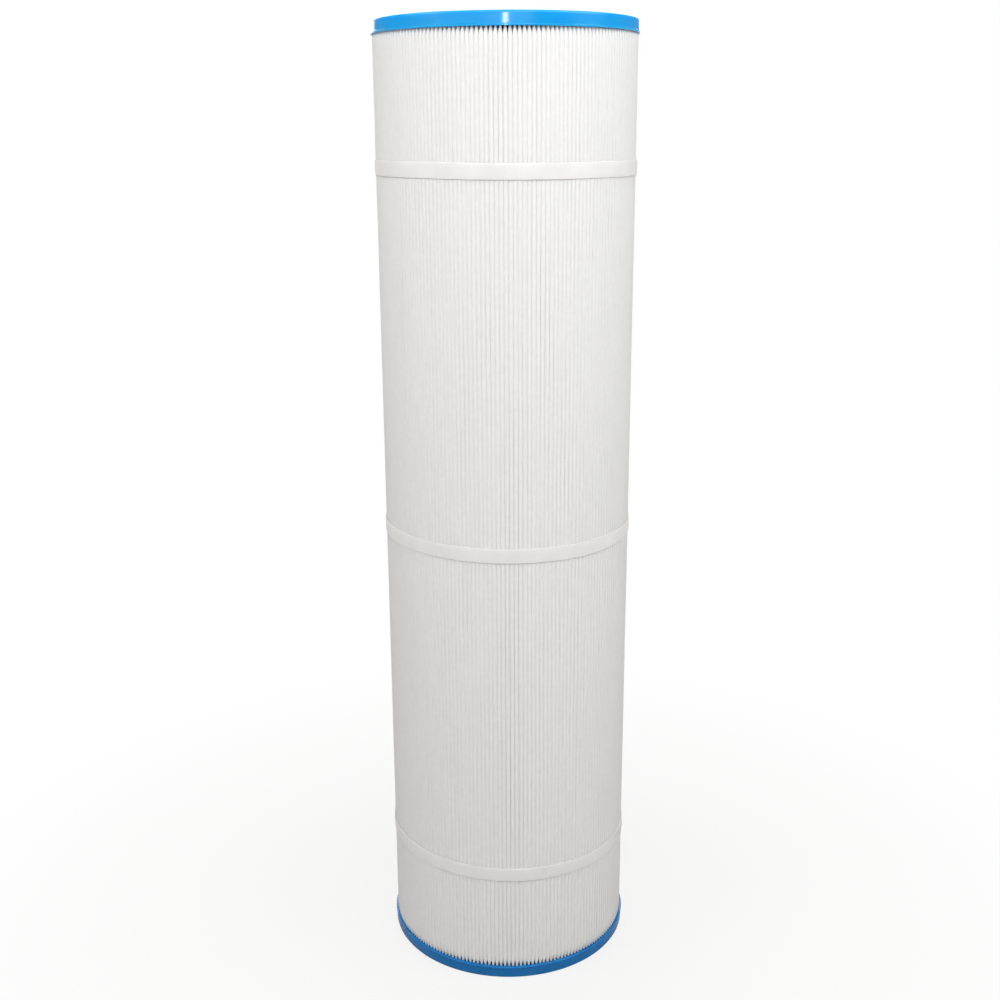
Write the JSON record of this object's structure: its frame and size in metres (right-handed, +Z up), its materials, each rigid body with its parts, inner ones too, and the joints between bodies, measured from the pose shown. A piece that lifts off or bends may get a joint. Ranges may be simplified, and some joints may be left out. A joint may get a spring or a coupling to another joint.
{
  "type": "filter cartridge",
  "caption": "Tall open-ended pleated filter cartridge: fabric pleats between cast ring caps on a lattice core, held by straps, for a pool or spa filter tank.",
  "frame": {"origin": "centre of the lower end cap's underside, on the cartridge's axis", "axes": "+Z up the cartridge's own axis; +X and +Y are any two directions across it"},
  "size_m": [0.178, 0.178, 0.667],
  "materials": {
    "end_cap": "glossy cast blue polyurethane, slightly soft",
    "media": "white spunbond polyester non-woven, fine random fibre texture, matt",
    "seam_adhesive": "milky set adhesive, satin",
    "core": "white moulded polypropylene, satin",
    "strap": "milky white extruded strap, smooth, slightly translucent",
    "strap_glue": "milky hot melt, satin"
  },
  "bodies": {
    "root": {"lower_end_cap": "end_cap", "upper_end_cap": "end_cap", "pleated_media": "media", "media_seam_bead": "seam_adhesive", "core_section_1": "core", "core_section_2": "core", "core_section_3": "core", "lower_strap": "strap", "middle_strap": "strap", "upper_strap": "strap", "lower_strap_glue": "strap_glue", "middle_strap_glue": "strap_glue", "upper_strap_glue": "strap_glue"}
  },
  "joints": []
}
